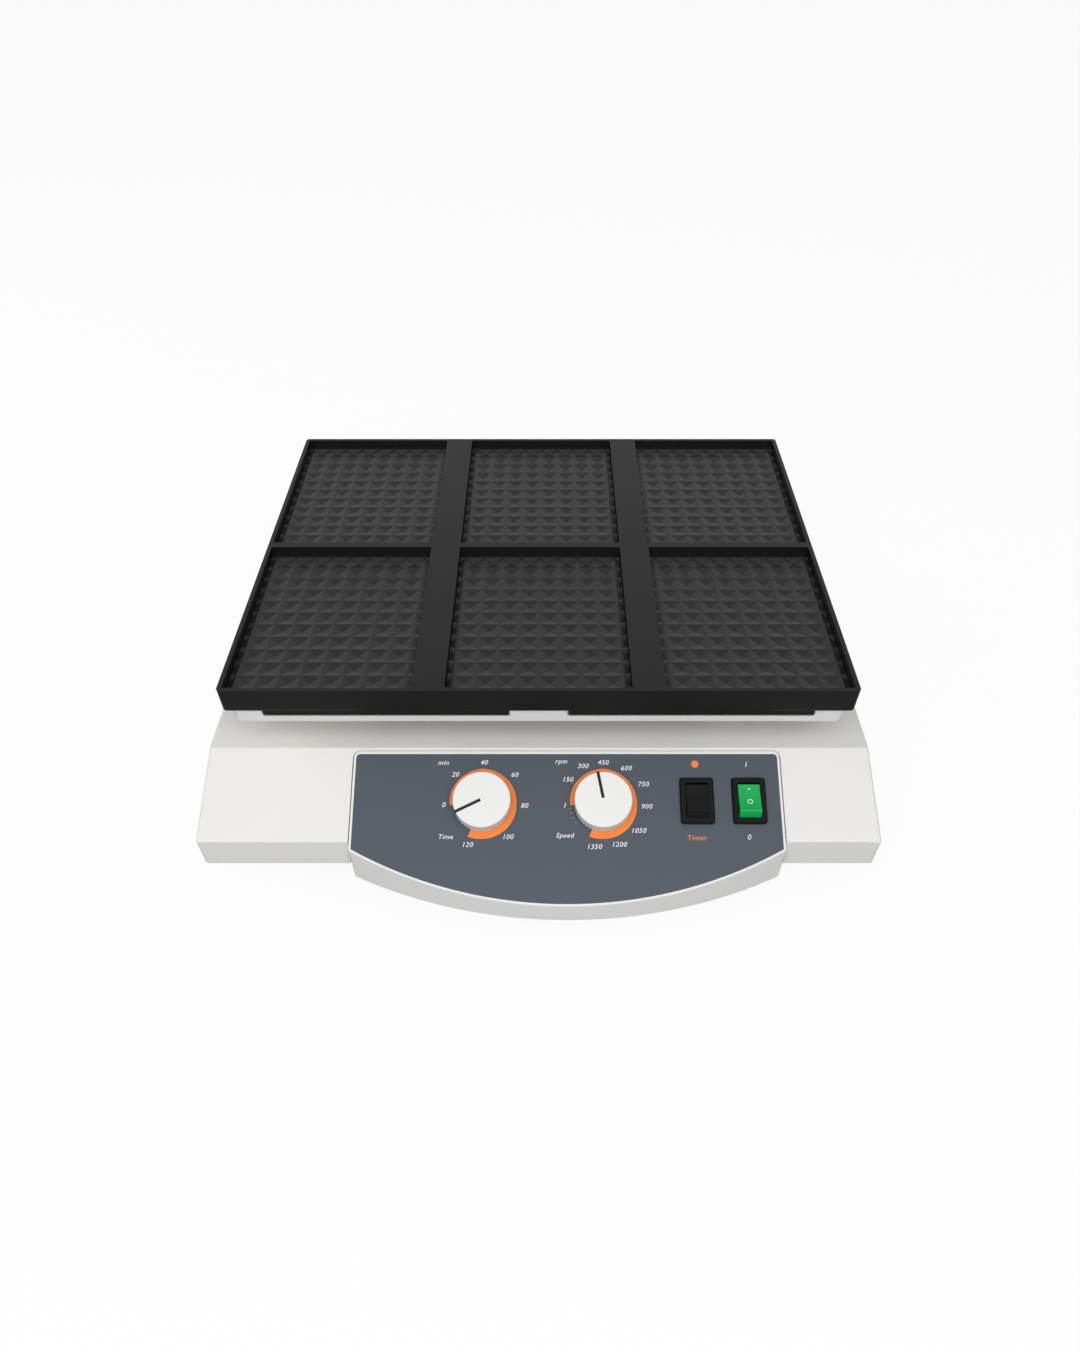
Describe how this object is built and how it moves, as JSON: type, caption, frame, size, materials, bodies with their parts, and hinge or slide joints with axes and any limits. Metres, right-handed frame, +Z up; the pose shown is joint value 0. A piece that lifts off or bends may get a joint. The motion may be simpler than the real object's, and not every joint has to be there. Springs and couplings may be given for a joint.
{
  "type": "platform shaker",
  "caption": "Benchtop orbital shaker with a tray of microplate nests on a small-orbit drive, sloped front, bowed dial console and rocker switches.",
  "frame": {"origin": "middle of the overall box on the bench, under the feet", "axes": "+Z up, +Y towards the rear, +X to the operator's right; the console faces -Y"},
  "size_m": [0.324, 0.3598, 0.112],
  "materials": {
    "shell_grey": "fine matte moulding",
    "tray_black": "satin moulding",
    "mat_black": "matte moulded waffle",
    "plate_grey": "fine texture paint",
    "pan_grey": "powder coat",
    "foot_rubber": "matte",
    "label_slate": "satin printed film",
    "knob_white": "satin",
    "pointer_black": "satin",
    "switch_black": "satin",
    "rocker_black": "satin",
    "rocker_green": "translucent gloss",
    "steel": "turned",
    "zinc": "zinc plated",
    "cast_alu": "machined",
    "belt_black": "matte",
    "motor_grey": "satin",
    "board_green": "solder mask",
    "component_dark": "satin",
    "standoff_white": "nylon",
    "transformer_core": "varnished laminations",
    "inlet_black": "satin",
    "brass": "nickel-free brass",
    "weight_iron": "machined"
  },
  "bodies": {
    "base": {"housing_shell": "shell_grey", "base_pan": "pan_grey", "rubber_feet": "foot_rubber", "foot_screws": "zinc", "pan_screws": "zinc", "console_housing": "shell_grey", "console_screws": "zinc", "panel_label": "label_slate", "timer_potentiometer": "motor_grey", "speed_potentiometer": "motor_grey", "potentiometer_nuts": "brass", "timer_switch_frame": "switch_black", "power_switch_frame": "switch_black", "chassis_plate": "cast_alu", "chassis_pillars": "cast_alu", "chassis_screws": "zinc", "main_bearing_housing": "cast_alu", "bearing_outer_rings": "steel", "idler_carrier_front_left": "cast_alu", "idler_carrier_front_right": "cast_alu", "idler_carrier_rear": "cast_alu", "drive_motor": "motor_grey", "motor_bracket": "pan_grey", "drive_belt": "belt_black", "control_board": "board_green", "board_components": "component_dark", "board_standoffs": "standoff_white", "mains_transformer": "transformer_core", "mains_inlet": "inlet_black", "inlet_pins": "brass", "inlet_screws": "zinc"},
    "crank": {"crank_shaft": "steel", "driven_pulley": "cast_alu", "counterweight": "weight_iron", "crank_inner_rings": "steel"},
    "table": {"platform_tray": "tray_black", "carrier_plate": "plate_grey", "table_bearing_rings": "steel", "tray_screws": "zinc", "mat_front_left": "mat_black", "mat_front_middle": "mat_black", "mat_front_right": "mat_black", "mat_rear_left": "mat_black", "mat_rear_middle": "mat_black", "mat_rear_right": "mat_black"},
    "idler_front_left": {"idler_crank_front_left": "steel"},
    "idler_front_right": {"idler_crank_front_right": "steel"},
    "idler_rear": {"idler_crank_rear": "steel"},
    "motor_rotor": {"motor_shaft": "steel", "motor_pulley": "cast_alu"},
    "timer_knob": {"timer_knob": "knob_white", "timer_pointer": "pointer_black", "timer_shaft": "brass"},
    "speed_knob": {"speed_knob": "knob_white", "speed_pointer": "pointer_black", "speed_shaft": "brass"},
    "timer_rocker": {"timer_rocker": "rocker_black"},
    "power_rocker": {"power_rocker": "rocker_green"},
    "fuse_drawer": {"fuse_drawer": "inlet_black"}
  },
  "joints": [
    {"name": "crank_spin", "type": "hinge", "parent": "base", "child": "crank", "pos_m": [0, 0.0079, 0.06], "axis": [0, 0, 1], "continuous": true},
    {"name": "table_orbit", "type": "hinge", "parent": "crank", "child": "table", "pos_m": [0, 0.00865, 0.088], "axis": [0, 0, 1], "continuous": true},
    {"name": "idler_front_left_spin", "type": "hinge", "parent": "base", "child": "idler_front_left", "pos_m": [-0.092, -0.0741, 0.062], "axis": [0, 0, 1], "continuous": true},
    {"name": "idler_front_right_spin", "type": "hinge", "parent": "base", "child": "idler_front_right", "pos_m": [0.092, -0.0741, 0.062], "axis": [0, 0, 1], "continuous": true},
    {"name": "idler_rear_spin", "type": "hinge", "parent": "base", "child": "idler_rear", "pos_m": [0, 0.0959, 0.062], "axis": [0, 0, 1], "continuous": true},
    {"name": "motor_spin", "type": "hinge", "parent": "base", "child": "motor_rotor", "pos_m": [-0.084, 0.0079, 0.04], "axis": [0, 0, 1], "continuous": true},
    {"name": "timer_knob_turn", "type": "hinge", "parent": "base", "child": "timer_knob", "pos_m": [-0.027, -0.13785, 0.05422], "axis": [0, -0.515, 0.8572], "range_deg": [-316.5, 0]},
    {"name": "speed_knob_turn", "type": "hinge", "parent": "base", "child": "speed_knob", "pos_m": [0.0305, -0.13785, 0.05422], "axis": [0, -0.515, 0.8572], "range_deg": [-202, 106]},
    {"name": "timer_rocker_tilt", "type": "hinge", "parent": "base", "child": "timer_rocker", "pos_m": [0.0755, -0.13648, 0.05504], "axis": [1, 0, 0], "range_deg": [0, 26]},
    {"name": "power_rocker_tilt", "type": "hinge", "parent": "base", "child": "power_rocker", "pos_m": [0.1004, -0.13648, 0.05504], "axis": [1, 0, 0], "range_deg": [0, 26]},
    {"name": "fuse_drawer_slide", "type": "slide", "parent": "base", "child": "fuse_drawer", "axis": [0, 1, 0], "range_m": [0, 0.012]}
  ],
  "couplings": [
    {"joint": "table_orbit", "follows": "crank_spin", "ratio": -1},
    {"joint": "idler_front_left_spin", "follows": "crank_spin", "ratio": 1},
    {"joint": "idler_front_right_spin", "follows": "crank_spin", "ratio": 1},
    {"joint": "idler_rear_spin", "follows": "crank_spin", "ratio": 1},
    {"joint": "motor_spin", "follows": "crank_spin", "ratio": 2.5}
  ]
}
